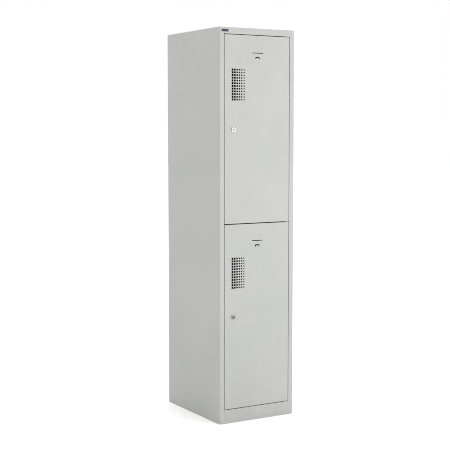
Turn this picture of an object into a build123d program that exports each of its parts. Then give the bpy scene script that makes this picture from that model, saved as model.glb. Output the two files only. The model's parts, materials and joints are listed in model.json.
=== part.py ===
from build123d import *
import os
from math import cos, hypot, radians, sin

# Two-tier steel locker: a folded sheet carcass, two inset doors on pin hinges and a cam lock in each door.
# Millimetres, +Z up, front towards -Y. The origin is on the floor, under the middle of the carcass's outline.

# Overall sizes and sheet
width = 400.0
height = 1800.0
carcass_depth = 500.0
sheet = 0.8
bend = 0.6
corner_bend = 2.2

# Front frame
stile_width = 24.5
header_height = 29.0
plinth_height = 63.5
lip_width = 12.0
lip_drop = 10.0
rear_flange = 15.0
rail_flange = 20.0
panel_flange = 15.0
shelf_flange = 20.0

# Doors and the gaps round them
side_gap = 1.6
top_gap = 2.2
bottom_gap = 2.0
door_depth = 20.0
door_return = 12.0
door_to_lip = 3.0

# Hinges: a fixed pin turns in a flanged bush in the door's top and bottom flanges
hinge_inset = 8.0
hinge_clearance = 0.1
pin_radius = 2.5
pin_reach = 8.0
pin_head = 1.5
pin_clearance = 0.05
bush_wall = 1.0
bush_length = 4.0
bush_rim = 0.9
bush_flange = 0.55
hinge_play = 0.3
lug_thickness = 1.5
lug_reach = 15.5
lug_length = 50.0
lug_clearance = 0.4
door_opening = 110.0

# Ventilation: square holes, graded from the lock side
vent_columns = 6
vent_rows = 12
vent_pitch = 12.12
vent_largest = 8.8
vent_step = 0.75
vent_inset = 42.0
vent_drop = 156.0

# Label slit and the lanced tongue under it
slit_width = 56.0
slit_height = 2.6
slit_drop = 78.7
tongue_drop = 96.7
lance_width = 22.0
lance_height = 10.0
lance_cut = 3.8
lance_radius = 3.0
tongue_tilt = 8.0

# Lock
lock_inset = 46.5
face_radius = 12.0
face_thickness = 2.4
face_chamfer = 0.8
barrel_radius = 9.5
barrel_flats = 16.0
barrel_clearance = 0.2
plug_head_radius = 8.0
plug_radius = 6.0
plug_clearance = 0.06
plug_recess = 0.3
plug_backing = 0.1
key_slot_length = 9.0
key_slot_width = 1.8
key_slot_depth = 1.6
nut_across_flats = 24.0
nut_thickness = 4.5
tang = 7.0
cam_thickness = 2.0
cam_width = 14.0
cam_play = 1.2
cam_engagement = 8.0
screw_head_radius = 4.5
screw_head = 2.6
screw_radius = 2.0
screw_length = 8.0

# Door stiffener
stiffener_space = 8.5
stiffener_web = 30.0
stiffener_height = 14.0
stiffener_flange = 12.0
stiffener_end = 45.0

# Rubber buffers in the lock-side lip
buffer_inset = 60.0
buffer_margin = 1.0
buffer_stem_radius = 2.0
buffer_bulb_radius = 3.2
buffer_bulb = 2.5
buffer_gap = 0.3

# Coat hooks and their rivets
hook_plate_width = 22.0
hook_plate_length = 64.0
hook_plate = 1.5
hook_wire_radius = 2.5
hook_drop = 32.0
hook_reach = 26.0
hook_rise = 16.0
hook_tip_radius = 4.5
rivet_pitch = 46.0
rivet_radius = 2.0
rivet_head_radius = 3.6
rivet_head = 0.7

# Wall fixing and badge
wall_hole_radius = 4.0
wall_hole_spacing = 240.0
wall_hole_drop = 60.0
badge_width = 35.0
badge_height = 11.0
badge_thickness = 0.6
badge_inset = 11.0
badge_radius = 2.0

# Places that follow from the sizes
front = -carcass_depth / 2
back = carcass_depth / 2
inner_side = width / 2 - sheet
opening = width / 2 - stile_width
lip_edge = opening - lip_width
lip_front = front + door_depth + door_to_lip
behind_lip = lip_front + sheet
header_bottom = height - header_height
door_half = opening - side_gap
bush_radius = pin_radius + bush_wall
hinge_setback = sheet + bend + bush_radius + hinge_clearance
middle_gap = lug_thickness + 2 * (bush_flange + hinge_play)
middle = (plinth_height + bottom_gap + header_bottom - top_gap) / 2
lower_door = (plinth_height + bottom_gap, middle - middle_gap / 2)
upper_door = (middle + middle_gap / 2, header_bottom - top_gap)
shelf_top = middle - lug_thickness / 2
ceiling = height - 2 * sheet
hinge_x = door_half - hinge_inset
hinge_y = front + hinge_setback
lock_x = -door_half + lock_inset
barrel_end = behind_lip - sheet
cam_front = behind_lip + cam_play
plug_front = front - face_thickness + plug_recess
plug_head = face_thickness - plug_recess - plug_backing
cam_reach = (lock_x + lip_edge) + cam_engagement


def box(x, y, z):
    """A block between two limits on each axis."""
    size = [hi - lo for lo, hi in (x, y, z)]
    centre = [(hi + lo) / 2 for lo, hi in (x, y, z)]
    return Pos(*centre) * Box(*size)


def upright(radius, x, y, z):
    """A vertical cylinder between two heights."""
    return Pos(x, y, (z[0] + z[1]) / 2) * Cylinder(radius, z[1] - z[0])


def along_y(sketch, x, z, y):
    """A sketch, drawn as seen from the front, made solid between two depths."""
    plane = Plane(origin=(x, y[0], z), x_dir=(1, 0, 0), z_dir=(0, -1, 0))
    return extrude(plane * sketch, -(y[1] - y[0]))


def folded_sheet(path, side, radii):
    """The section of a sheet folded along path, its thickness on one side (+1 is left)."""
    points = [Vector(*p) for p in path]
    runs = [(b - a).normalized() for a, b in zip(points, points[1:])]
    normals = [Vector(-r.Y, r.X) * side for r in runs]
    joints = list(zip(normals, normals[1:]))
    shifts = [normals[0]] + [(m + n) * (1 / (1 + m.dot(n))) for m, n in joints] + [normals[-1]]
    offset = [p + s * sheet for p, s in zip(points, shifts)]
    face = Face(Wire.make_polygon(points + offset[::-1], close=True))
    for index, radius in enumerate(radii, start=1):
        turn = runs[index - 1].cross(runs[index]).Z * side
        inner, outer = (offset, points) if turn > 0 else (points, offset)
        for corner, size in ((inner[index], radius), (outer[index], radius + sheet)):
            face = face.fillet_2d(size, face.vertices().sort_by_distance(corner)[0:1])
    return face if face.normal_at().Z > 0 else -face


def pan(x, y, z, flange):
    """A sheet tray, open underneath, with a flange folded down on its four sides."""
    tray = box(x, y, (z - flange, z))
    inside = box((x[0] + sheet, x[1] - sheet), (y[0] + sheet, y[1] - sheet), (z - flange, z - sheet))
    return round_top(tray, bend + sheet) - round_top(inside, bend)


def round_top(block, radius):
    """The block with the edges of its upper face rounded."""
    return fillet(block.faces().sort_by(Axis.Z)[-1].edges(), radius)


def side_panel(lug_slot):
    """The left side panel, or with lug_slot set, the right one: its mirror image, slotted for the lug."""
    path = [
        (-width / 2 + rear_flange, back),
        (-width / 2, back),
        (-width / 2, front),
        (-opening, front),
        (-opening, lip_front),
        (-lip_edge, lip_front),
    ]
    panel = extrude(folded_sheet(path, 1, [bend, corner_bend, bend, bend]), height)
    outline = Face(Wire.make_polygon(
        [(-width / 2, back), (-width / 2, front), (-opening, front), (-opening, back)], close=True))
    corners = {(-width / 2, front): corner_bend, (-opening, front): bend, (-width / 2, back): bend}
    for corner, radius in corners.items():
        nearest = outline.vertices().sort_by_distance(Vector(*corner))[0:1]
        outline = outline.fillet_2d(radius + sheet, nearest)
    panel += extrude(outline, sheet)
    panel += Pos(0, 0, height - sheet) * extrude(outline, sheet)
    lip = ((-opening, -lip_edge), (lip_front - sheet, behind_lip))
    panel -= box(*lip, (header_bottom - bend, height - sheet))
    panel -= box(*lip, (sheet, plinth_height + bend))
    if lug_slot:
        panel -= box((-opening + lug_clearance / 2, -lip_edge), (lip_front - sheet, behind_lip),
                     (shelf_top, shelf_top + lug_thickness + lug_clearance))
        return mirror(panel, about=Plane.YZ)
    for z in buffer_heights():
        panel -= along_y(Circle(buffer_stem_radius), -buffer_x(), z, (lip_front, behind_lip))
    return panel


def buffer_x():
    """How far each buffer's axis stands from the middle."""
    return (opening + lip_edge) / 2


def buffer_heights():
    """Two buffers for each door."""
    return [z for low, high in (lower_door, upper_door) for z in (low + buffer_inset, high - buffer_inset)]


def front_rail(outer_z, inner_z, lip_length):
    """A channel between the stiles, with its face at the front and a stop lip behind the door's edge."""
    side = 1 if outer_z > inner_z else -1
    path = [
        (front + rail_flange, outer_z),
        (front, outer_z),
        (front, inner_z),
        (behind_lip, inner_z),
        (behind_lip, inner_z - side * lip_length),
    ]
    section = folded_sheet(path, side, [bend] * 3)
    return Pos(-opening, 0, 0) * extrude(Plane.YZ * section, 2 * opening)


def header_rail():
    rail = front_rail(height, header_bottom, lip_drop)
    return rail - upright(pin_radius, hinge_x, hinge_y, (header_bottom, header_bottom + sheet))


def plinth():
    rail = front_rail(0, plinth_height, lip_drop)
    return rail - upright(pin_radius, hinge_x, hinge_y, (plinth_height - sheet, plinth_height))


def back_panel():
    half = inner_side - bend
    y = (back - 2 * sheet, back - sheet)
    panel = box((-half, half), y, (sheet, height - sheet))
    for x in (-wall_hole_spacing / 2, wall_hole_spacing / 2):
        panel -= along_y(Circle(wall_hole_radius), x, height - wall_hole_drop, y)
    return panel


def top_panel():
    panel = pan((-inner_side, inner_side), (front + sheet, back - 2 * sheet), height - sheet, panel_flange)
    for sign in (-1, 1):
        x = sorted((sign * opening, sign * inner_side))
        panel -= box(x, (front + sheet, behind_lip), (height - sheet - panel_flange, height - sheet))
    return panel - rivet_holes(height - sheet)


def floor_panel():
    return pan((-inner_side, inner_side), (behind_lip + sheet, back - 2 * sheet), plinth_height, shelf_flange)


def middle_shelf():
    shelf = pan((-inner_side, inner_side), (behind_lip, back - 2 * sheet), shelf_top, shelf_flange)
    return shelf - rivet_holes(shelf_top)


def middle_hinge_lug():
    reach = opening - lug_clearance
    lug = box((hinge_x - lug_reach, reach), (hinge_y - bush_radius - bush_rim, front + lug_length),
              (shelf_top, shelf_top + lug_thickness))
    edges = lug.edges().filter_by(Axis.Z).group_by(Axis.Y)[0]
    lug = fillet(edges, hinge_setback / 2)
    return lug - upright(pin_radius, hinge_x, hinge_y, (shelf_top, shelf_top + lug_thickness))


def hinge_pin(seat, up, down):
    """A pin with a reach above and below its seat; a reach of nothing is a riveted head."""
    low = seat[0] - (down if down else pin_head)
    high = seat[1] + (up if up else pin_head)
    pin = upright(pin_radius, hinge_x, hinge_y, (low, high))
    end = pin_radius / 3
    if down:
        pin = chamfer(pin.faces().sort_by(Axis.Z)[0].edges(), end)
    else:
        pin += upright(bush_radius, hinge_x, hinge_y, (low, seat[0]))
    if up:
        pin = chamfer(pin.faces().sort_by(Axis.Z)[-1].edges(), end)
    else:
        pin += upright(bush_radius, hinge_x, hinge_y, (seat[1], high))
    return pin


def bottom_hinge_washer():
    z = (plinth_height, lower_door[0] - bush_flange - hinge_play)
    washer = upright(bush_radius + bush_rim, hinge_x, hinge_y, z)
    return washer - upright(pin_radius + pin_clearance, hinge_x, hinge_y, z)


def door_buffers():
    """Pushed through the lip: a flat head for the door, a stem and a bulb behind."""
    head_front = front + door_depth + buffer_gap
    buffers = []
    for z in buffer_heights():
        head = along_y(Circle(lip_width / 2 - buffer_margin), -buffer_x(), z, (head_front, lip_front))
        head = fillet(head.faces().sort_by(Axis.Y)[0].edges(), buffer_gap * 2)
        stem = along_y(Circle(buffer_stem_radius), -buffer_x(), z, (lip_front, behind_lip))
        bulb = along_y(Circle(buffer_bulb_radius), -buffer_x(), z, (behind_lip, behind_lip + buffer_bulb))
        bulb = chamfer(bulb.faces().sort_by(Axis.Y)[-1].edges(), buffer_bulb / 2)
        buffers.append(head + stem + bulb)
    return Compound(buffers)


def rivet_places():
    return [(0, -rivet_pitch / 2), (0, rivet_pitch / 2)]


def rivet_holes(top):
    """The holes for a hook's rivets, through the sheet whose upper face is at top."""
    return [upright(rivet_radius, x, y, (top - sheet, top)) for x, y in rivet_places()]


def coat_hook(top):
    """A plate under the ceiling with a bent wire prong to the left and right."""
    z = (top - hook_plate, top)
    hook = Pos(0, 0, (z[0] + z[1]) / 2) * Box(hook_plate_width, hook_plate_length, hook_plate)
    hook = fillet(hook.edges().filter_by(Axis.Z), hook_plate_width / 4)
    stem = hook_plate_width / 2 - hook_wire_radius
    for sign in (-1, 1):
        points = [
            (sign * stem, 0, z[0] + hook_plate / 2),
            (sign * stem, 0, z[0] - hook_drop),
            (sign * (stem + hook_reach), 0, z[0] - hook_drop),
            (sign * (stem + hook_reach), 0, z[0] - hook_drop + hook_rise),
        ]
        path = FilletPolyline(*points, radius=3 * hook_wire_radius)
        wire = sweep(Plane(origin=points[0], z_dir=(0, 0, -1)) * Circle(hook_wire_radius), path)
        hook += wire + Pos(*points[-1]) * Sphere(hook_tip_radius)
    return hook - [upright(rivet_radius, x, y, z) for x, y in rivet_places()]


def hook_rivets():
    """One rivet in each hole of both hooks, with a low head on each side."""
    rivets = []
    for top in (height - sheet, shelf_top):
        under = top - sheet - hook_plate
        for x, y in rivet_places():
            rivet = upright(rivet_radius, x, y, (under, top))
            rivet += upright(rivet_head_radius, x, y, (top, top + rivet_head))
            rivet += upright(rivet_head_radius, x, y, (under - rivet_head, under))
            rivets.append(rivet)
    return Compound(rivets)


def badge_plate():
    x = -width / 2 + badge_inset + badge_width / 2
    z = height - header_height / 2
    outline = RectangleRounded(badge_width, badge_height, badge_radius)
    plate = along_y(outline, x, z, (front - badge_thickness, front))
    return chamfer(plate.faces().sort_by(Axis.Y)[0].edges(), badge_thickness / 2)


def lock_z(door):
    return (door[0] + door[1]) / 2


def barrel_section(clearance):
    """A round barrel with two flats, which keep it from turning in the door."""
    across = barrel_flats + 2 * clearance
    return Circle(barrel_radius + clearance) & Rectangle(3 * barrel_radius, across)


def vent_holes(door):
    """Rows and columns of square holes that grow smaller away from the lock side."""
    holes = []
    for column in range(vent_columns):
        side = vent_largest - vent_step * column
        x = -door_half + vent_inset + vent_pitch * column
        for row in range(vent_rows):
            z = door[1] - vent_drop - vent_pitch * row
            holes.append(along_y(Rectangle(side, side), x, z, (front, front + sheet)))
    return holes


def label_cuts(door):
    """A slit for the top edge of a card, and the arched cut round the tongue that holds its lower edge."""
    slit = along_y(Rectangle(slit_width, slit_height), 0, door[1] - slit_drop, (front, front + sheet))
    arch = Rectangle(lance_width, lance_height)
    arch = fillet(arch.vertices().group_by(Axis.Y)[-1], lance_radius)
    return [slit, along_y(arch, 0, door[1] - tongue_drop - lance_height / 2, (front, front + sheet))]


def label_tongue(door):
    """The tongue, joined to the skin at its foot and bent a little forward."""
    tongue_height = lance_height - lance_cut
    foot = door[1] - tongue_drop - lance_height
    tongue = along_y(Rectangle(lance_width - 2 * lance_cut, tongue_height), 0, foot + tongue_height / 2,
                     (front, front + sheet))
    return tongue.rotate(Axis((0, front + sheet, foot), (1, 0, 0)), tongue_tilt)


def door_skin(door):
    """A pan folded back on all four sides, with returns behind, and its holes."""
    y = (front, front + door_depth)
    skin = box((-door_half, door_half), y, door)
    skin = fillet(skin.edges().group_by(Axis.Y)[0], bend + sheet)
    hollow = box((sheet - door_half, door_half - sheet), (y[0] + sheet, y[1] - sheet),
                 (door[0] + sheet, door[1] - sheet))
    skin -= fillet(hollow.edges().group_by(Axis.Y)[0], bend)
    skin -= box((door_return - door_half, door_half - door_return), (y[1] - sheet, y[1]),
                (door[0] + door_return, door[1] - door_return))
    skin -= [upright(bush_radius, hinge_x, hinge_y, (z, z + sheet)) for z in (door[0], door[1] - sheet)]
    skin -= along_y(barrel_section(barrel_clearance), lock_x, lock_z(door), (front, front + sheet))
    return skin - (vent_holes(door) + label_cuts(door)) + label_tongue(door)


def door_stiffener(door):
    """A hat section, open towards the skin that it is welded to."""
    left = slit_width / 2 + stiffener_space
    seat = front + sheet
    crown = seat + stiffener_height
    path = [
        (left, seat),
        (left + stiffener_flange, seat),
        (left + stiffener_flange, crown),
        (left + stiffener_flange + stiffener_web, crown),
        (left + stiffener_flange + stiffener_web, seat),
        (left + 2 * stiffener_flange + stiffener_web, seat),
    ]
    section = folded_sheet(path, 1, [bend] * 4)
    length = door[1] - door[0] - 2 * stiffener_end
    return Pos(0, 0, door[0] + stiffener_end) * extrude(section, length)


def hinge_bushes(door):
    """A bush in each hole of the door's flanges, its own flange in the gap outside."""
    bushes = []
    for edge, out in ((door[0], -1), (door[1], 1)):
        flange = sorted((edge, edge + out * bush_flange))
        barrel = sorted((edge, edge - out * bush_length))
        bush = upright(bush_radius + bush_rim, hinge_x, hinge_y, flange)
        bush += upright(bush_radius, hinge_x, hinge_y, barrel)
        bore = (min(flange[0], barrel[0]), max(flange[1], barrel[1]))
        bushes.append(bush - upright(pin_radius + pin_clearance, hinge_x, hinge_y, bore))
    return Compound(bushes)


def lock_housing(door):
    z = lock_z(door)
    face = along_y(Circle(face_radius), lock_x, z, (front - face_thickness, front))
    face = chamfer(face.faces().sort_by(Axis.Y)[0].edges(), face_chamfer)
    housing = face + along_y(barrel_section(0), lock_x, z, (front, barrel_end))
    bore = Circle(plug_radius + plug_clearance)
    recess = Circle(plug_head_radius + plug_clearance)
    housing -= along_y(bore, lock_x, z, (front - face_thickness, barrel_end))
    seat = plug_front + plug_head + plug_clearance
    return housing - along_y(recess, lock_x, z, (front - face_thickness, seat))


def lock_nut(door):
    nut = RegularPolygon(nut_across_flats / 2, 6, major_radius=False) - barrel_section(0)
    return along_y(nut, lock_x, lock_z(door), (front + sheet, front + sheet + nut_thickness))


def lock_plug(door):
    """Head, shank and square tang; the key slot is level when the cam hangs down."""
    z = lock_z(door)
    cam_back = cam_front + cam_thickness
    plug = along_y(Circle(plug_head_radius), lock_x, z, (plug_front, plug_front + plug_head))
    plug += along_y(Circle(plug_radius), lock_x, z, (plug_front + plug_head, cam_front))
    plug += along_y(Rectangle(tang, tang), lock_x, z, (cam_front, cam_back))
    slot = SlotOverall(key_slot_length, key_slot_width)
    plug -= along_y(slot, lock_x, z, (plug_front, plug_front + key_slot_depth))
    return plug - along_y(Circle(screw_radius), lock_x, z, (cam_back - screw_length, cam_back))


def lock_cam(door):
    """A flat arm that hangs from the tang, long enough to pass behind the lip."""
    arm = Circle(cam_width / 2 + 1) + Pos(0, -cam_reach / 2) * Rectangle(cam_width, cam_reach)
    arm = fillet(arm.vertices().group_by(Axis.Y)[0], cam_width / 4)
    arm -= Rectangle(tang, tang)
    return along_y(arm, lock_x, lock_z(door), (cam_front, cam_front + cam_thickness))


def cam_screw(door):
    z = lock_z(door)
    cam_back = cam_front + cam_thickness
    head = along_y(Circle(screw_head_radius), lock_x, z, (cam_back, cam_back + screw_head))
    head = fillet(head.faces().sort_by(Axis.Y)[-1].edges(), screw_head / 2)
    slot = (cam_back + screw_head / 2, cam_back + screw_head)
    head -= along_y(Rectangle(3 * screw_head_radius, screw_head / 3), lock_x, z, slot)
    return head + along_y(Circle(screw_radius), lock_x, z, (cam_back - screw_length, cam_back))


def hinge_check():
    """The door's corners have to turn inside the gap, the lip and the stile over the whole opening."""
    corner = hypot(hinge_inset, hinge_setback)
    rear = hypot(hinge_inset, door_depth - hinge_setback) - (door_depth - hinge_setback)
    reach = hinge_inset + side_gap
    angle = radians(door_opening)
    stile = reach * sin(angle) + hinge_setback * cos(angle) - hinge_setback
    print("corner to stile", round(reach - corner, 2), "rear corner to lip", round(door_to_lip - rear, 2),
          "open door to stile", round(stile, 2))


def carcass():
    lug_seat = (shelf_top, shelf_top + lug_thickness)
    return {
        "left_side_panel": side_panel(False),
        "right_side_panel": side_panel(True),
        "back_panel": back_panel(),
        "top_panel": top_panel(),
        "header_rail": header_rail(),
        "plinth": plinth(),
        "floor_panel": floor_panel(),
        "middle_shelf": middle_shelf(),
        "middle_hinge_lug": middle_hinge_lug(),
        "top_hinge_pin": hinge_pin((header_bottom, header_bottom + sheet), 0, top_gap + pin_reach),
        "middle_hinge_pin": hinge_pin(lug_seat, middle_gap + pin_reach, middle_gap + pin_reach),
        "bottom_hinge_pin": hinge_pin((plinth_height - sheet, plinth_height), bottom_gap + pin_reach, 0),
        "bottom_hinge_washer": bottom_hinge_washer(),
        "door_buffers": door_buffers(),
        "upper_coat_hook": coat_hook(ceiling),
        "lower_coat_hook": coat_hook(shelf_top - sheet),
        "hook_rivets": hook_rivets(),
        "badge_plate": badge_plate(),
    }


def door_pieces(name, door):
    return {
        f"{name}_door_skin": door_skin(door),
        f"{name}_door_stiffener": door_stiffener(door),
        f"{name}_hinge_bushes": hinge_bushes(door),
        f"{name}_lock_housing": lock_housing(door),
        f"{name}_lock_nut": lock_nut(door),
        f"{name}_lock_plug": lock_plug(door),
        f"{name}_lock_cam": lock_cam(door),
        f"{name}_cam_screw": cam_screw(door),
    }


hinge_check()
pieces = carcass() | door_pieces("upper", upper_door) | door_pieces("lower", lower_door)
os.makedirs("parts", exist_ok=True)
for node, shape in pieces.items():
    export_step(shape, f"parts/{node}.step")
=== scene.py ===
import json
import math

import bmesh
import bpy
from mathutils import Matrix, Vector


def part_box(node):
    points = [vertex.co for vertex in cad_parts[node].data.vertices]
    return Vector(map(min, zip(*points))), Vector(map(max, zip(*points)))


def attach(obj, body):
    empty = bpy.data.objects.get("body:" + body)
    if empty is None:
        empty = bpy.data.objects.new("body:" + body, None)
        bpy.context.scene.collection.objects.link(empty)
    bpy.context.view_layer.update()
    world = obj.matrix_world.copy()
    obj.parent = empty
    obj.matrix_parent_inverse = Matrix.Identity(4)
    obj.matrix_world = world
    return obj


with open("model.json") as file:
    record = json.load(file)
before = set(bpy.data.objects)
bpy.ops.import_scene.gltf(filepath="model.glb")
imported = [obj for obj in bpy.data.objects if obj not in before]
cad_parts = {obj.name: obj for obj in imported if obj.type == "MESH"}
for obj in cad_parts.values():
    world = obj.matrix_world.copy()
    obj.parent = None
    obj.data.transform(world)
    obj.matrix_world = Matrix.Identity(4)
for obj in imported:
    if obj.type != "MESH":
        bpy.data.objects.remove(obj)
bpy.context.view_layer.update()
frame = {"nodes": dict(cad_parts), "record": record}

# The look of a two-door steel locker: powder-coated sheet with its spot welds, satin lock housings with
# bright turned plugs, zinc-plated hinge and lock parts. Metres, in the CAD frame: +Z up, doors to -Y.

scene = bpy.context.scene
MM = 0.001
DOORS = ("upper", "lower")
SIDES = (("left", 1), ("right", -1))

# Spot welds: the rim that the electrode leaves stands a little above the sheet round a flat middle.
# The middle and the rim's shoulders stand at their shares of the rim's height.
WELD_RADIUS = 3.4 * MM
WELD_RIM_HEIGHT = 0.25 * MM
WELD_RIM_WIDTH = 1.1 * MM
WELD_ROOT = 0.2 * MM
WELD_SIDES = 20
WELD_SPACING = 115 * MM
WELD_END_MARGIN = 38 * MM
WELD_MIDDLE_SHARE = 0.15
WELD_SHOULDER_SHARE = 0.85
WELD_SHOULDER_OFFSET = 0.2

# Widths of the hidden flanges that the welds sit on
REAR_FLANGE = 15 * MM
HEADER_FLANGE = 20 * MM
STIFFENER_FLANGE = 12 * MM

# Noise mostly lies between these values
NOISE_LOW = 0.3
NOISE_HIGH = 0.7

# Powder coat
COAT_GREYS = ((188, 189, 187), (191, 191, 189))
COAT_GRAIN_GREY = (170, 171, 169)
# The pale edge grey below is partly rubbed wear and partly a painted highlight along the bends
COAT_WEAR_AND_HIGHLIGHT_GREY = (212, 212, 209)
COAT_DRIFT_SIZE = 300 * MM
COAT_DRIFT_RANGE = (0.35, 0.65)
COAT_GRAIN_SIZE = 0.6 * MM
COAT_GRAIN_RANGE = (0.35, 0.70)
COAT_GRAIN_AMOUNT = 0.10
COAT_GRAIN_DEPTH = 0.02 * MM
COAT_PEEL_SIZE = 2.6 * MM
COAT_PEEL_DEPTH = 0.04 * MM
COAT_HAZE_SIZE = 60 * MM
COAT_HAZE_STRETCH = (1, 1, 2.5)
COAT_ROUGHNESS = (0.40, 0.47)
COAT_GRAIN_ROUGHNESS = 0.05
COAT_SPECULAR = 0.45
# Pale coat edges, partly rubbed wear and partly a painted highlight along the bends: reach, patch size and
# amount
WEAR_AND_HIGHLIGHT_RADIUS = 1.0 * MM
WEAR_AND_HIGHLIGHT_SIZE = 25 * MM
WEAR_AND_HIGHLIGHT_RANGE = (0.45, 0.70)
WEAR_AND_HIGHLIGHT_AMOUNT = (0.05, 0.40)
DUST_COLOUR = (158, 154, 145)
DUST_HEIGHT = 25 * MM
DUST_AMOUNT = 0.05
DUST_SIZE = 18 * MM
DUST_RANGE = (0.35, 0.70)
DUST_PATCHES = (0.3, 1.0)

# Lock housings: satin nickel
HOUSING_GREYS = ((150, 151, 153), (176, 176, 175))
HOUSING_RING_GREY = (196, 196, 196)
HOUSING_RING_WIDTH = 0.11 * MM
HOUSING_RING_DEPTH = 0.008 * MM
HOUSING_RING_AMOUNT = 0.4
HOUSING_BLOOM_SIZE = 3 * MM
HOUSING_ROUGHNESS = (0.26, 0.36)

# Lock plugs: turned metal, and painted shade down the keyway, darkening between two depths below the face
PLUG_GREYS = ((136, 136, 137), (158, 158, 157))
PLUG_SCRATCH_GREY = (104, 104, 106)
PLUG_RING_WIDTH = 0.16 * MM
PLUG_RING_DEPTH = 0.005 * MM
PLUG_SCRATCH_SIZE = 1.2 * MM
PLUG_SCRATCH_STRETCH = (4, 1, 0.25)
PLUG_SCRATCH_RANGE = (0.60, 0.66)
PLUG_SCRATCH_AMOUNT = 0.35
PLUG_SCRATCH_ROUGHNESS = 0.15
PLUG_ROUGHNESS = 0.20
# Painted shade colour and roughness for the keyway
KEYWAY_SHADE_COLOUR = (28, 27, 26)
KEYWAY_ROUGHNESS = 0.55
KEYWAY_SHADE_DEPTHS = (0.15 * MM, 0.6 * MM)

# Zinc plate
ZINC_COLOURS = ((158, 160, 163), (206, 204, 197))
ZINC_EDGE_GREY = (126, 126, 128)
ZINC_EDGE_RADIUS = 0.3 * MM
ZINC_EDGE_AMOUNT = 0.5
ZINC_BLOOM_SIZE = 4 * MM
ZINC_LINE_SIZE = 0.5 * MM
ZINC_LINE_STRETCH = (1, 1, 8)
ZINC_LINE_DEPTH = 0.012 * MM
ZINC_ROUGHNESS = (0.27, 0.46)

# Nylon
NYLON_COLOURS = ((214, 211, 199), (228, 226, 216))
NYLON_POLISHED = (176, 174, 168)
NYLON_EDGE_RADIUS = 0.4 * MM
NYLON_EDGE_AMOUNT = 0.35
NYLON_MOTTLE_SIZE = 3 * MM
NYLON_GRAIN_SIZE = 0.5 * MM
NYLON_GRAIN_DEPTH = 0.02 * MM
NYLON_ROUGHNESS = (0.36, 0.48)
NYLON_SCATTER_WEIGHT = 0.15
NYLON_SCATTER_RADIUS = (1.0 * MM, 0.9 * MM, 0.7 * MM)

# Rubber
RUBBER_GREYS = ((50, 50, 51), (74, 73, 72))
RUBBER_BLOOM_SIZE = 2 * MM
RUBBER_GRAIN_SIZE = 0.35 * MM
RUBBER_GRAIN_DEPTH = 0.03 * MM
RUBBER_ROUGHNESS = (0.58, 0.78)

# Badge
ENAMEL_BLUES = ((58, 60, 86), (76, 79, 104))
ENAMEL_RUBBED = (140, 142, 156)
ENAMEL_EDGE_RADIUS = 0.4 * MM
ENAMEL_EDGE_AMOUNT = 0.5
ENAMEL_CLOUD_SIZE = 5 * MM
ENAMEL_RIPPLE_SIZE = 0.8 * MM
ENAMEL_RIPPLE_DEPTH = 0.012 * MM
ENAMEL_ROUGHNESS = (0.26, 0.38)
ENAMEL_CLEAR_COAT = 0.35

# Studio
FLOOR_RADIUS = 40.0
FLOOR_SEGMENTS = 96
FLOOR_WHITES = ((249, 249, 249), (253, 253, 253))
FLOOR_MOTTLE_SIZE = 0.8
FLOOR_ROUGHNESS = (0.6, 0.7)
FLOOR_SPECULAR = 0.1
FLOOR_GLOW = 0.10
SKY_BRIGHT_TOWARDS = (1.0, 1.0, 0.0)
SKY_DIM = 0.83
SKY_BRIGHT = 1.63
KEY_PLACE = (1.75, -3.3, 1.25)
KEY_AIM = (0.0, -0.25, 0.9)
KEY_SIZE = (2.0, 2.5)
KEY_WATTS = 30.0
CARD_PLACE = (1.34, -2.7, 0.01)
CARD_SIZE = (1.1, 1.5)
CARD_GREYS = ((158, 158, 158), (168, 168, 168))
CARD_MOTTLE_SIZE = 0.1
CARD_ROUGHNESS = (0.7, 0.9)
WHITE = (1.0, 1.0, 1.0, 1.0)

# Camera: the photograph's view, from the left of the front, a little above mid-height. Angles in degrees,
# lens and sensor in millimetres.
CAMERA_PLACE = (-2.645, -4.462, 1.330)
CAMERA_YAW = 30.424
CAMERA_PITCH = -4.851
CAMERA_LENS = 86.85
CAMERA_SENSOR = 36.0

# View: a steep curve and a narrow pixel filter keep holes and gaps of a pixel or two dark
VIEW_GAMMA = 0.65
PIXEL_FILTER = 1.0


# ---------------------------------------------------------------- node helpers

def new_material(name):
    """An empty node material and its Principled shader."""
    material = bpy.data.materials.new(name)
    material.use_nodes = True
    nodes = material.node_tree.nodes
    nodes.clear()
    output = nodes.new("ShaderNodeOutputMaterial")
    shader = nodes.new("ShaderNodeBsdfPrincipled")
    material.node_tree.links.new(shader.outputs["BSDF"], output.inputs["Surface"])
    return material, shader


def feed(material, socket, value):
    """Links the socket to value if that is another socket, and sets it to value if not."""
    if isinstance(value, bpy.types.NodeSocket):
        material.node_tree.links.new(value, socket)
    else:
        socket.default_value = value


def add(material, kind, inputs=None, **settings):
    """A node with its settings and its inputs, each given by name or number."""
    node = material.node_tree.nodes.new("ShaderNode" + kind)
    for key, value in settings.items():
        setattr(node, key, value)
    for key, value in (inputs or {}).items():
        feed(material, node.inputs[key], value)
    return node


def link(material, source, shader, socket):
    material.node_tree.links.new(source, shader.inputs[socket])


def place(material):
    """The point being shaded, in metres in the piece's own frame."""
    return add(material, "TexCoord").outputs["Object"]


def along(material, axis):
    """The point's place along the X, Y or Z axis."""
    return add(material, "SeparateXYZ", {0: place(material)}).outputs[axis]


def noise(material, size, detail=3.0, roughness=0.5, stretch=None):
    """Noise from 0 to 1 with blotches about size metres across, drawn out along the axes by stretch."""
    where = place(material)
    if stretch:
        inputs = {0: where, 1: [1 / s for s in stretch]}
        where = add(material, "VectorMath", inputs, operation="MULTIPLY").outputs[0]
    inputs = {"Vector": where, "Scale": 1.0 / size, "Detail": detail, "Roughness": roughness}
    return add(material, "TexNoise", inputs).outputs["Fac"]


def span(material, value, low, high, to_low, to_high):
    """value taken from the range low to high, to the range to_low to to_high."""
    inputs = {"Value": value, "From Min": low, "From Max": high, "To Min": to_low, "To Max": to_high}
    return add(material, "MapRange", inputs).outputs["Result"]


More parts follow.
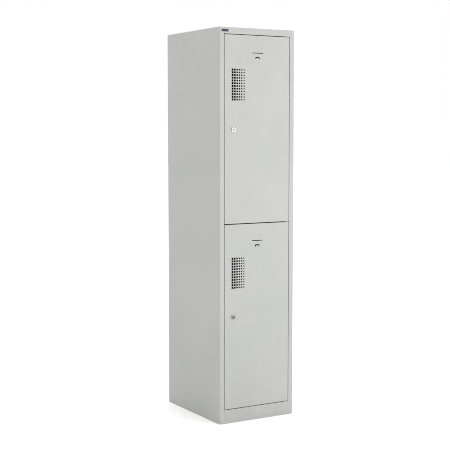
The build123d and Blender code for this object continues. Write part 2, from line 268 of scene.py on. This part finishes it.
def spread(material, value, to_low, to_high):
    """A noise taken to the range to_low to to_high."""
    return span(material, value, NOISE_LOW, NOISE_HIGH, to_low, to_high)


def combine(material, operation, first, second):
    return add(material, "Math", {0: first, 1: second}, operation=operation).outputs[0]


def mix_colour(material, factor, first, second):
    """From the first colour to the second as factor goes from 0 to 1."""
    node = add(material, "Mix", data_type="RGBA")
    colour_sockets = [socket for socket in node.inputs if socket.type == "RGBA"]
    feed(material, node.inputs["Factor"], factor)
    feed(material, colour_sockets[0], first)
    feed(material, colour_sockets[1], second)
    return next(socket for socket in node.outputs if socket.type == "RGBA")


def bump(material, height, depth, normal=None):
    """A bump whose height socket, from 0 to 1, stands for depth metres."""
    inputs = {"Height": height, "Distance": depth, "Strength": 1.0}
    if normal is not None:
        inputs["Normal"] = normal
    return add(material, "Bump", inputs).outputs["Normal"]


def rgb(red, green, blue):
    """A colour given in sRGB from 0 to 255, as the linear RGBA that nodes take."""
    shares = (red / 255, green / 255, blue / 255)
    return (*(s / 12.92 if s <= 0.04045 else ((s + 0.055) / 1.055) ** 2.4 for s in shares), 1.0)


def edges(material, radius):
    """1 within about radius of a sharp edge or a tight bend, 0 on flat sheet."""
    rounded = add(material, "Bevel", {"Radius": radius}, samples=4).outputs["Normal"]
    true = add(material, "NewGeometry").outputs["Normal"]
    agree = add(material, "VectorMath", {0: rounded, 1: true}, operation="DOT_PRODUCT").outputs["Value"]
    flat, bent = 0.97, 0.80
    return span(material, agree, flat, bent, 0.0, 1.0)


def rings_about(material, centre, width):
    """Fine rings of the given width in metres about the axis through centre, along Y."""
    to_axis = (-centre.x, 0.0, -centre.z)
    from_axis = add(material, "VectorMath", {0: place(material), 1: to_axis}, operation="ADD")
    flat = add(material, "VectorMath", {0: from_axis.outputs[0], 1: (1.0, 0.0, 1.0)}, operation="MULTIPLY")
    radius = add(material, "VectorMath", {0: flat.outputs[0]}, operation="LENGTH").outputs["Value"]
    inputs = {"W": radius, "Scale": 1.0 / width, "Detail": 2.0}
    return add(material, "TexNoise", inputs, noise_dimensions="1D").outputs["Fac"]


# ---------------------------------------------------------------- materials

def edge_wear_and_highlight(material, colour, radius, amount, rubbed):
    """The colour, with amount of the rubbed colour along edges: rubbed wear, and on the powder coat partly
    a painted highlight along the bends.
    """
    share = combine(material, "MULTIPLY", edges(material, radius), amount)
    return mix_colour(material, share, colour, rgb(*rubbed))


def powder_coat():
    """Light grey powder coat: orange peel, slight colour drift, paler edges that are partly rubbed wear and
    partly a painted highlight along the bends, dust at the foot.
    """
    material, shader = new_material("grey_powder_coat")
    drift = span(material, noise(material, COAT_DRIFT_SIZE, detail=2.0), *COAT_DRIFT_RANGE, 0.0, 1.0)
    colour = mix_colour(material, drift, rgb(*COAT_GREYS[0]), rgb(*COAT_GREYS[1]))
    grain = noise(material, COAT_GRAIN_SIZE, detail=2.0)
    specks = span(material, grain, *COAT_GRAIN_RANGE, COAT_GRAIN_AMOUNT, 0.0)
    colour = mix_colour(material, specks, colour, rgb(*COAT_GRAIN_GREY))
    # Paler edges: partly rubbed wear, partly a painted highlight along the bends
    wear_and_highlight = span(material, noise(material, WEAR_AND_HIGHLIGHT_SIZE), *WEAR_AND_HIGHLIGHT_RANGE, *WEAR_AND_HIGHLIGHT_AMOUNT)
    colour = edge_wear_and_highlight(material, colour, WEAR_AND_HIGHLIGHT_RADIUS, wear_and_highlight, COAT_WEAR_AND_HIGHLIGHT_GREY)
    link(material, dusty(material, colour), shader, "Base Color")
    haze = noise(material, COAT_HAZE_SIZE, detail=4.0, stretch=COAT_HAZE_STRETCH)
    roughness = combine(material, "ADD", spread(material, haze, *COAT_ROUGHNESS),
                        spread(material, grain, 0.0, COAT_GRAIN_ROUGHNESS))
    link(material, roughness, shader, "Roughness")
    peel = bump(material, noise(material, COAT_PEEL_SIZE, detail=1.5), COAT_PEEL_DEPTH)
    link(material, bump(material, grain, COAT_GRAIN_DEPTH, peel), shader, "Normal")
    shader.inputs["Specular IOR Level"].default_value = COAT_SPECULAR
    return material


def dusty(material, colour):
    """The colour under patches of dust that thin out from the floor up to DUST_HEIGHT."""
    low_down = span(material, along(material, "Z"), 0.0, DUST_HEIGHT, DUST_AMOUNT, 0.0)
    patches = span(material, noise(material, DUST_SIZE, detail=4.0), *DUST_RANGE, *DUST_PATCHES)
    return mix_colour(material, combine(material, "MULTIPLY", low_down, patches), colour, rgb(*DUST_COLOUR))


def lock_housing_metal(name, centre):
    """Satin nickel: fine turned rings and a soft bloom."""
    material, shader = new_material(name)
    rings = rings_about(material, centre, HOUSING_RING_WIDTH)
    bloom = noise(material, HOUSING_BLOOM_SIZE, detail=4.0)
    colour = mix_colour(material, bloom, rgb(*HOUSING_GREYS[0]), rgb(*HOUSING_GREYS[1]))
    colour = mix_colour(material, spread(material, rings, 0.0, HOUSING_RING_AMOUNT), colour,
                        rgb(*HOUSING_RING_GREY))
    link(material, colour, shader, "Base Color")
    link(material, spread(material, bloom, *HOUSING_ROUGHNESS), shader, "Roughness")
    link(material, bump(material, rings, HOUSING_RING_DEPTH), shader, "Normal")
    shader.inputs["Metallic"].default_value = 1.0
    return material


def lock_plug_metal(name, centre, face):
    """Bright turned face with key scratches, and painted shade going dark down the keyway."""
    material, shader = new_material(name)
    rings = rings_about(material, centre, PLUG_RING_WIDTH)
    bright = mix_colour(material, rings, rgb(*PLUG_GREYS[0]), rgb(*PLUG_GREYS[1]))
    marks = noise(material, PLUG_SCRATCH_SIZE, detail=6.0, stretch=PLUG_SCRATCH_STRETCH)
    scratches = span(material, marks, *PLUG_SCRATCH_RANGE, 0.0, PLUG_SCRATCH_AMOUNT)
    bright = mix_colour(material, scratches, bright, rgb(*PLUG_SCRATCH_GREY))
    # Painted shade: the colour goes dark down the keyway, between two depths below the face
    start, end = (face + depth for depth in KEYWAY_SHADE_DEPTHS)
    inside = span(material, along(material, "Y"), start, end, 0.0, 1.0)
    link(material, mix_colour(material, inside, bright, rgb(*KEYWAY_SHADE_COLOUR)), shader, "Base Color")
    roughness = combine(material, "ADD", span(material, inside, 0.0, 1.0, PLUG_ROUGHNESS, KEYWAY_ROUGHNESS),
                        span(material, scratches, 0.0, PLUG_SCRATCH_AMOUNT, 0.0, PLUG_SCRATCH_ROUGHNESS))
    link(material, roughness, shader, "Roughness")
    link(material, bump(material, rings, PLUG_RING_DEPTH), shader, "Normal")
    shader.inputs["Metallic"].default_value = 1.0
    return material


def zinc_plate():
    """Zinc-plated steel: a mottled bloom, faint drawing lines and duller, rubbed edges."""
    material, shader = new_material("zinc_plate")
    bloom = noise(material, ZINC_BLOOM_SIZE, detail=5.0, roughness=0.6)
    lines = noise(material, ZINC_LINE_SIZE, detail=3.0, stretch=ZINC_LINE_STRETCH)
    colour = mix_colour(material, bloom, rgb(*ZINC_COLOURS[0]), rgb(*ZINC_COLOURS[1]))
    colour = edge_wear_and_highlight(material, colour, ZINC_EDGE_RADIUS, ZINC_EDGE_AMOUNT, ZINC_EDGE_GREY)
    link(material, colour, shader, "Base Color")
    link(material, spread(material, bloom, *ZINC_ROUGHNESS), shader, "Roughness")
    link(material, bump(material, lines, ZINC_LINE_DEPTH), shader, "Normal")
    shader.inputs["Metallic"].default_value = 1.0
    return material


def nylon():
    """Natural nylon: slightly translucent, with a moulded grain and a grey polish where it rubs."""
    material, shader = new_material("natural_nylon")
    mottle = noise(material, NYLON_MOTTLE_SIZE)
    colour = mix_colour(material, mottle, rgb(*NYLON_COLOURS[0]), rgb(*NYLON_COLOURS[1]))
    colour = edge_wear_and_highlight(material, colour, NYLON_EDGE_RADIUS, NYLON_EDGE_AMOUNT, NYLON_POLISHED)
    link(material, colour, shader, "Base Color")
    link(material, spread(material, mottle, *NYLON_ROUGHNESS), shader, "Roughness")
    grain = noise(material, NYLON_GRAIN_SIZE)
    link(material, bump(material, grain, NYLON_GRAIN_DEPTH), shader, "Normal")
    shader.inputs["Subsurface Weight"].default_value = NYLON_SCATTER_WEIGHT
    shader.inputs["Subsurface Radius"].default_value = NYLON_SCATTER_RADIUS
    return material


def rubber():
    """Dark grey moulded rubber with a dull bloom."""
    material, shader = new_material("grey_rubber")
    bloom = noise(material, RUBBER_BLOOM_SIZE, detail=4.0)
    colour = mix_colour(material, bloom, rgb(*RUBBER_GREYS[0]), rgb(*RUBBER_GREYS[1]))
    link(material, colour, shader, "Base Color")
    link(material, spread(material, bloom, *RUBBER_ROUGHNESS), shader, "Roughness")
    grain = noise(material, RUBBER_GRAIN_SIZE)
    link(material, bump(material, grain, RUBBER_GRAIN_DEPTH), shader, "Normal")
    return material


def badge_enamel():
    """Dark slate-blue enamel under a clear coat, a little rubbed at the edges."""
    material, shader = new_material("badge_enamel")
    cloud = noise(material, ENAMEL_CLOUD_SIZE)
    colour = mix_colour(material, cloud, rgb(*ENAMEL_BLUES[0]), rgb(*ENAMEL_BLUES[1]))
    colour = edge_wear_and_highlight(material, colour, ENAMEL_EDGE_RADIUS, ENAMEL_EDGE_AMOUNT, ENAMEL_RUBBED)
    link(material, colour, shader, "Base Color")
    link(material, spread(material, cloud, *ENAMEL_ROUGHNESS), shader, "Roughness")
    ripple = noise(material, ENAMEL_RIPPLE_SIZE)
    link(material, bump(material, ripple, ENAMEL_RIPPLE_DEPTH), shader, "Normal")
    shader.inputs["Coat Weight"].default_value = ENAMEL_CLEAR_COAT
    return material


def studio_paint():
    """Pale matt studio floor, lit a little from below like a light table."""
    material, shader = new_material("studio_paint")
    mottle = noise(material, FLOOR_MOTTLE_SIZE)
    colour = mix_colour(material, mottle, rgb(*FLOOR_WHITES[0]), rgb(*FLOOR_WHITES[1]))
    link(material, colour, shader, "Base Color")
    link(material, spread(material, mottle, *FLOOR_ROUGHNESS), shader, "Roughness")
    shader.inputs["Specular IOR Level"].default_value = FLOOR_SPECULAR
    shader.inputs["Emission Color"].default_value = WHITE
    shader.inputs["Emission Strength"].default_value = FLOOR_GLOW
    return material


def card_paint():
    """Matt grey card."""
    material, shader = new_material("studio_card")
    dull = noise(material, CARD_MOTTLE_SIZE)
    colour = mix_colour(material, dull, rgb(*CARD_GREYS[0]), rgb(*CARD_GREYS[1]))
    link(material, colour, shader, "Base Color")
    link(material, spread(material, dull, *CARD_ROUGHNESS), shader, "Roughness")
    return material


def paint(node, material):
    """The CAD node's own surface gets the material."""
    mesh = frame["nodes"][node].data
    mesh.materials.clear()
    mesh.materials.append(material)


def paint_nodes():
    """Each CAD node gets the material of the record's slot, and each lock its own turned metals."""
    finishes = {
        "grey_powder_coat": coat,
        "zinc_steel": zinc_plate(),
        "white_nylon": nylon(),
        "grey_rubber": rubber(),
        "badge_blue": badge_enamel(),
    }
    for part in frame["record"]["subparts"]:
        if part["material_slot"] in finishes:
            paint(part["node"], finishes[part["material_slot"]])
    for door in DOORS:
        low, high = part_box(f"{door}_lock_plug")
        centre = (low + high) / 2
        paint(f"{door}_lock_plug", lock_plug_metal(f"{door}_plug_metal", centre, low.y))
        paint(f"{door}_lock_housing", lock_housing_metal(f"{door}_housing_metal", centre))


# ---------------------------------------------------------------- spot welds

def weld_profile():
    """Distance from the weld's middle and height above the sheet, going outwards and down into it."""
    ridge = WELD_RADIUS - WELD_RIM_WIDTH / 2
    inner = WELD_RADIUS - WELD_RIM_WIDTH
    shoulder = WELD_RIM_HEIGHT * WELD_SHOULDER_SHARE
    offset = WELD_RIM_WIDTH * WELD_SHOULDER_OFFSET
    return [
        (inner, WELD_RIM_HEIGHT * WELD_MIDDLE_SHARE),
        (ridge - offset, shoulder),
        (ridge, WELD_RIM_HEIGHT),
        (ridge + offset, shoulder),
        (WELD_RADIUS, 0.0),
        (WELD_RADIUS, -WELD_ROOT),
    ]


def weld_ring(shape, middle, turn, radius, height):
    """A ring of vertices about middle, at the given height above the sheet."""
    angles = [2 * math.pi * i / WELD_SIDES for i in range(WELD_SIDES)]
    points = [Vector((radius * math.cos(a), radius * math.sin(a), height)) for a in angles]
    return [shape.verts.new(Vector(middle) + turn @ point) for point in points]


def weld_mark(shape, middle, turn):
    """One closed weld mark: its rings joined by a band of faces each, and capped at both ends."""
    rings = [weld_ring(shape, middle, turn, radius, height) for radius, height in weld_profile()]
    shape.faces.new(rings[0])
    shape.faces.new(reversed(rings[-1]))
    for inner, outer in zip(rings, rings[1:]):
        for i in range(WELD_SIDES):
            j = (i + 1) % WELD_SIDES
            shape.faces.new((inner[i], outer[i], outer[j], inner[j]))


def spot_welds(name, places, facing, body):
    """One piece holding a weld mark at each place, on sheet that faces the given way."""
    turn = Vector(facing).to_track_quat("Z", "Y")
    mesh = bpy.data.meshes.new(name)
    shape = bmesh.new()
    for middle in places:
        weld_mark(shape, middle, turn)
    shape.to_mesh(mesh)
    shape.free()
    mesh.shade_smooth()
    mesh.materials.append(coat)
    piece = bpy.data.objects.new(name, mesh)
    scene.collection.objects.link(piece)
    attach(piece, body)


def spaced(low, high):
    """Places from low to high, inside the end margins, about WELD_SPACING apart."""
    first, last = low + WELD_END_MARGIN, high - WELD_END_MARGIN
    count = max(2, round((last - first) / WELD_SPACING) + 1)
    return [first + (last - first) * i / (count - 1) for i in range(count)]


def tray_middle(tray):
    """The height of the middle of a tray's folded edges."""
    low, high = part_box(tray)
    return (low.z + high.z) / 2


def side_welds():
    """Rows on the rear and top flanges, and along both sides at the shelf and the floor panel."""
    low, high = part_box("left_side_panel")
    rail_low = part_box("header_rail")[0]
    flange_middle = low.x + REAR_FLANGE / 2
    stile_middle = (low.x + rail_low.x) / 2
    for side, sign in SIDES:
        row = [(sign * flange_middle, high.y, z) for z in spaced(low.z, high.z)]
        spot_welds(f"rear_flange_welds_{side}", row, (0, 1, 0), "carcass")
        row = [(sign * stile_middle, y, high.z) for y in spaced(low.y, high.y)]
        spot_welds(f"top_flange_welds_{side}", row, (0, 0, 1), "carcass")
        rows = [(sign * low.x, y, tray_middle(tray)) for tray in ("middle_shelf", "floor_panel")
                for y in spaced(low.y, high.y)]
        spot_welds(f"tray_welds_{side}", rows, (-sign, 0, 0), "carcass")


def back_and_header_welds():
    """Rows across the back at each tray, and one on the header's top flange."""
    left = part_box("left_side_panel")[0].x
    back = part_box("back_panel")[1].y
    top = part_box("left_side_panel")[1].z
    rows = [(x, back, tray_middle(tray)) for tray in ("top_panel", "middle_shelf", "floor_panel")
            for x in spaced(left, -left)]
    spot_welds("back_welds", rows, (0, 1, 0), "carcass")
    rail_low, rail_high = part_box("header_rail")
    row = [(x, rail_low.y + HEADER_FLANGE / 2, top) for x in spaced(rail_low.x, rail_high.x)]
    spot_welds("header_welds", row, (0, 0, 1), "carcass")


def sheet_thickness():
    low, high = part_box("back_panel")
    return high.y - low.y


def door_welds(door):
    """Two rows on the flanges of the door's stiffener."""
    low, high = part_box(f"{door}_door_stiffener")
    face = low.y + sheet_thickness()
    rows = [(x, face, z) for x in (low.x + STIFFENER_FLANGE / 2, high.x - STIFFENER_FLANGE / 2)
            for z in spaced(low.z, high.z)]
    spot_welds(f"{door}_stiffener_welds", rows, (0, 1, 0), f"{door}_door")


# ---------------------------------------------------------------- stage, light and camera

def studio():
    """A round, pale floor, large enough to reach the horizon from every side."""
    mesh = bpy.data.meshes.new("studio_floor")
    shape = bmesh.new()
    bmesh.ops.create_circle(shape, cap_ends=True, radius=FLOOR_RADIUS, segments=FLOOR_SEGMENTS)
    shape.to_mesh(mesh)
    shape.free()
    mesh.materials.append(studio_paint())
    floor = bpy.data.objects.new("studio_floor", mesh)
    scene.collection.objects.link(floor)


def reflected_card():
    """A grey card on the floor that only reflections see: the lower lock mirrors it."""
    half_x, half_y = CARD_SIZE[0] / 2, CARD_SIZE[1] / 2
    corners = [(-half_x, -half_y, 0), (half_x, -half_y, 0), (half_x, half_y, 0), (-half_x, half_y, 0)]
    mesh = bpy.data.meshes.new("studio_card")
    mesh.from_pydata(corners, [], [(0, 1, 2, 3)])
    mesh.materials.append(card_paint())
    card = bpy.data.objects.new("studio_card", mesh)
    card.location = CARD_PLACE
    card.visible_camera = False
    card.visible_diffuse = False
    card.visible_shadow = False
    scene.collection.objects.link(card)


def key_light():
    """One tall softbox in front and to the right, at chest height."""
    data = bpy.data.lights.new("key", "AREA")
    data.shape = "RECTANGLE"
    data.size, data.size_y = KEY_SIZE
    data.energy = KEY_WATTS
    light = bpy.data.objects.new("key", data)
    light.location = KEY_PLACE
    light.rotation_euler = (Vector(KEY_AIM) - Vector(KEY_PLACE)).to_track_quat("-Z", "Y").to_euler()
    scene.collection.objects.link(light)


def studio_sky():
    """White to the camera; as a light it is brighter behind the locker and to its right."""
    world = bpy.data.worlds.new("studio_sky")
    world.use_nodes = True
    nodes, links = world.node_tree.nodes, world.node_tree.links
    direction = nodes.new("ShaderNodeTexCoord")
    towards = nodes.new("ShaderNodeVectorMath")
    towards.operation = "DOT_PRODUCT"
    towards.inputs[1].default_value = Vector(SKY_BRIGHT_TOWARDS).normalized()
    links.new(direction.outputs["Generated"], towards.inputs[0])
    brightness = nodes.new("ShaderNodeMapRange")
    links.new(towards.outputs["Value"], brightness.inputs["Value"])
    limits = {"From Min": -1.0, "From Max": 1.0, "To Min": SKY_DIM, "To Max": SKY_BRIGHT}
    for socket, value in limits.items():
        brightness.inputs[socket].default_value = value
    seen_or_lighting = nodes.new("ShaderNodeMix")
    links.new(nodes.new("ShaderNodeLightPath").outputs["Is Camera Ray"], seen_or_lighting.inputs["Factor"])
    links.new(brightness.outputs["Result"], seen_or_lighting.inputs["A"])
    seen_or_lighting.inputs["B"].default_value = 1.0
    background = nodes["Background"]
    background.inputs["Color"].default_value = WHITE
    links.new(seen_or_lighting.outputs["Result"], background.inputs["Strength"])
    scene.world = world
    # The sky is smooth, so rays that leave the surfaces find it with less noise than rays aimed at it
    world.cycles.sampling_method = "NONE"


def camera():
    """The photograph's camera, with its verticals converging a little instead of its lens shift."""
    yaw, pitch = math.radians(CAMERA_YAW), math.radians(CAMERA_PITCH)
    level = math.cos(pitch)
    forward = Vector((math.sin(yaw) * level, math.cos(yaw) * level, math.sin(pitch)))
    data = bpy.data.cameras.new("camera")
    data.sensor_width = CAMERA_SENSOR
    data.lens = CAMERA_LENS
    data.clip_end = 3 * FLOOR_RADIUS
    view = bpy.data.objects.new("camera", data)
    view.location = CAMERA_PLACE
    view.rotation_euler = forward.to_track_quat("-Z", "Y").to_euler()
    scene.collection.objects.link(view)
    scene.camera = view


def view_settings():
    """The display curve, and denoising from the colour alone, which leaves the vent holes as they are."""
    scene.view_settings.view_transform = "Standard"
    scene.view_settings.gamma = VIEW_GAMMA
    scene.cycles.filter_width = PIXEL_FILTER
    scene.cycles.denoising_input_passes = "RGB"


coat = powder_coat()
camera()
studio()
reflected_card()
key_light()
studio_sky()
view_settings()
paint_nodes()
side_welds()
back_and_header_welds()
for door in DOORS:
    door_welds(door)
